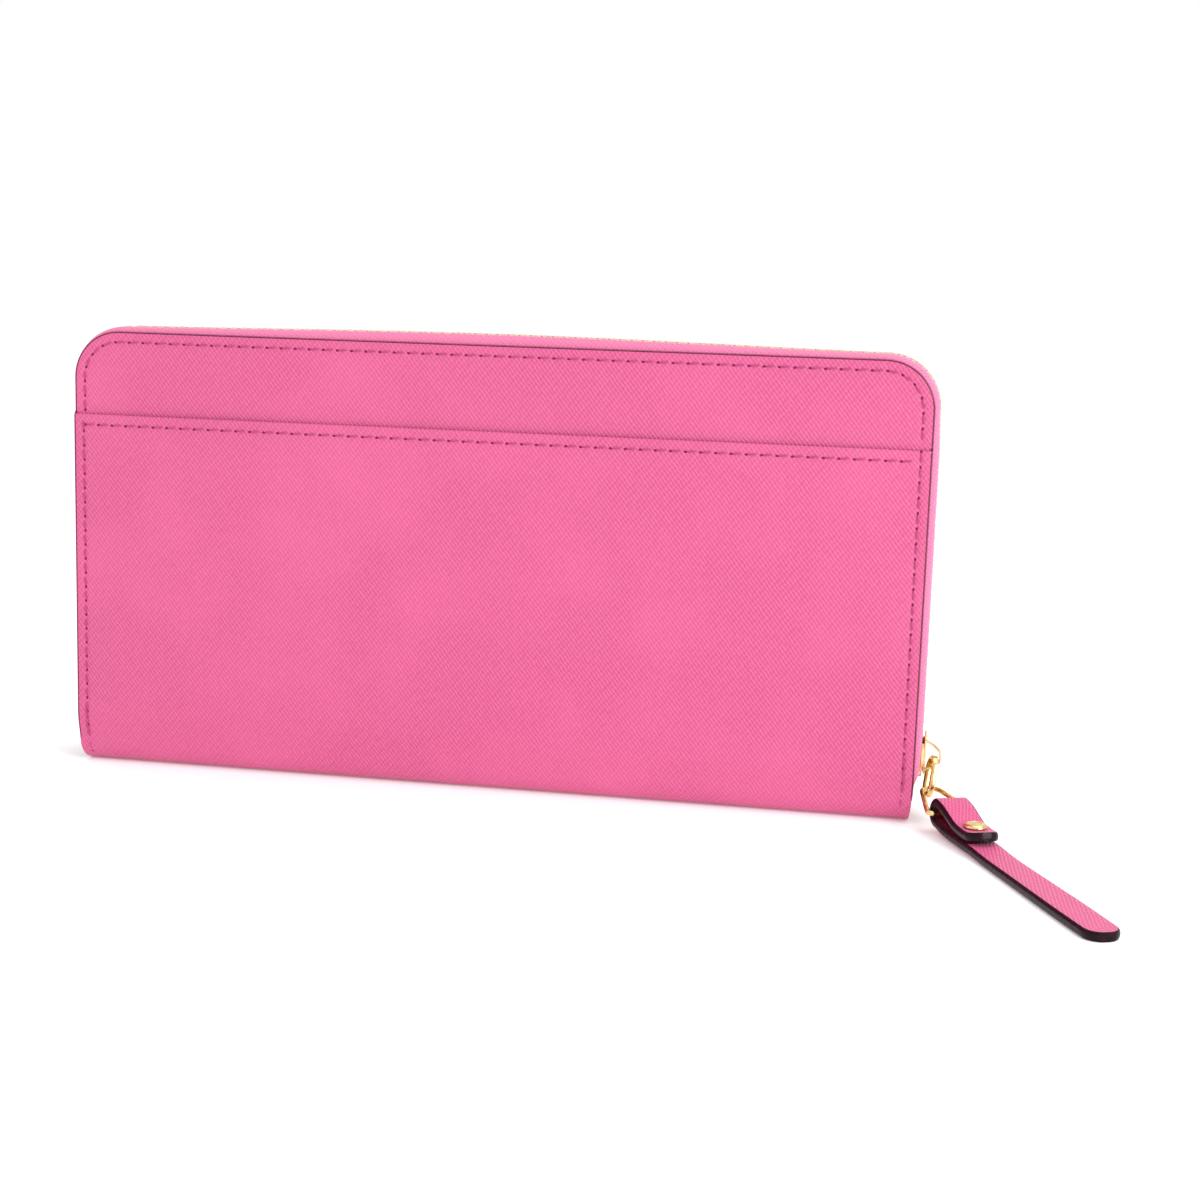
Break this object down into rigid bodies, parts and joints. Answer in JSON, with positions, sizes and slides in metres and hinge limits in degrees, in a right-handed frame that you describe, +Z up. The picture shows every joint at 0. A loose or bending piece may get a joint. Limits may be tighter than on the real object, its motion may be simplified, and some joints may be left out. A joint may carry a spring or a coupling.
{
  "type": "zip-around wallet",
  "caption": "Long zip-around leather wallet with an outside slip pocket, a metal zip round three sides and a riveted leather zip pull.",
  "frame": {"origin": "centre of the spine's flat resting face", "axes": "+X along the wallet towards the end with the zip slider, +Z up, -Y the side with the slip pocket"},
  "size_m": [0.2317, 0.0899, 0.1005],
  "materials": {
    "pink_leather": "cross-grained leather, semi-matt",
    "strip_leather": "cross-grained leather, a paler pink",
    "inner_leather": "smooth leather",
    "lining_fabric": "fine twill",
    "board": "matt fibreboard",
    "zip_tape": "woven tape",
    "zip_metal": "polished, pale gold",
    "gold_metal": "polished gold plate"
  },
  "bodies": {
    "back_half": {"back_cover": "pink_leather", "back_board": "board", "back_lining": "lining_fabric", "slip_pocket": "pink_leather", "spine": "pink_leather", "spine_liner": "lining_fabric", "back_edge_strip": "strip_leather", "back_zip_tape": "zip_tape", "back_zip_teeth": "zip_metal", "back_card_backing": "lining_fabric", "back_card_panel_1": "inner_leather", "back_card_panel_2": "inner_leather", "back_card_panel_3": "inner_leather", "front_teeth_end_left": "zip_metal", "front_teeth_end_right": "zip_metal", "bottom_stop": "zip_metal", "top_stop_back": "zip_metal", "top_stop_front": "zip_metal", "end_gusset_left": "lining_fabric", "end_gusset_right": "lining_fabric"},
    "front_half": {"front_cover": "pink_leather", "front_board": "board", "front_lining": "lining_fabric", "front_edge_strip": "strip_leather", "front_zip_tape": "zip_tape", "front_zip_teeth": "zip_metal", "front_card_backing": "lining_fabric", "front_card_panel_1": "inner_leather", "front_card_panel_2": "inner_leather", "front_card_panel_3": "inner_leather"},
    "coin_pocket": {"coin_panel_back": "lining_fabric", "coin_panel_front": "lining_fabric", "coin_tape_back": "zip_tape", "coin_tape_front": "zip_tape", "coin_teeth_back": "zip_metal", "coin_teeth_front": "zip_metal", "coin_stop_left": "zip_metal", "coin_stop_right": "zip_metal"},
    "zip_slider": {"slider": "gold_metal"},
    "link": {"pull_link": "gold_metal"},
    "ring": {"pull_ring": "gold_metal"},
    "tab": {"pull_tab": "pink_leather", "rivet_cap": "gold_metal", "rivet_post": "gold_metal"},
    "coin_zip_slider": {"coin_slider": "gold_metal"},
    "coin_zip_pull": {"coin_pull": "gold_metal"}
  },
  "joints": [
    {"name": "front_open", "type": "hinge", "parent": "back_half", "child": "front_half", "pos_m": [0, 0.0085, 0.0015], "axis": [-1, 0, 0], "range_deg": [0, 60], "deforming": ["spine", "end_gusset_left", "end_gusset_right", "front_teeth_end_left", "front_teeth_end_right"]},
    {"name": "coin_pocket_fan", "type": "hinge", "parent": "back_half", "child": "coin_pocket", "pos_m": [0, 0.0085, 0.0015], "axis": [-1, 0, 0], "range_deg": [0, 30]},
    {"name": "zip_travel", "type": "slide", "parent": "back_half", "child": "zip_slider", "axis": [0, 0, 1], "range_m": [0, 0.07]},
    {"name": "link_swing", "type": "hinge", "parent": "zip_slider", "child": "link", "pos_m": [0.0994, 0, 0.0127], "axis": [0.2572, -0.9102, 0.3247], "range_deg": [0, 100]},
    {"name": "ring_swing", "type": "hinge", "parent": "link", "child": "ring", "pos_m": [0.0988, -0.0028, 0.00641], "axis": [-0.9187, -0.3949, 0], "range_deg": [-5, 35]},
    {"name": "tab_swing", "type": "hinge", "parent": "ring", "child": "tab", "pos_m": [0.10367, -0.01412, 0.0043], "axis": [-0.9187, -0.3949, 0], "range_deg": [-5, 60]},
    {"name": "coin_zip_travel", "type": "slide", "parent": "coin_pocket", "child": "coin_zip_slider", "axis": [-1, 0, 0], "range_m": [0, 0.14]},
    {"name": "coin_pull_swing", "type": "hinge", "parent": "coin_zip_slider", "child": "coin_zip_pull", "pos_m": [0.0683, 0, 0.0826], "axis": [0, 1, 0], "range_deg": [0, 150]}
  ],
  "couplings": [
    {"joint": "coin_pocket_fan", "follows": "front_open", "ratio": 0.5}
  ]
}
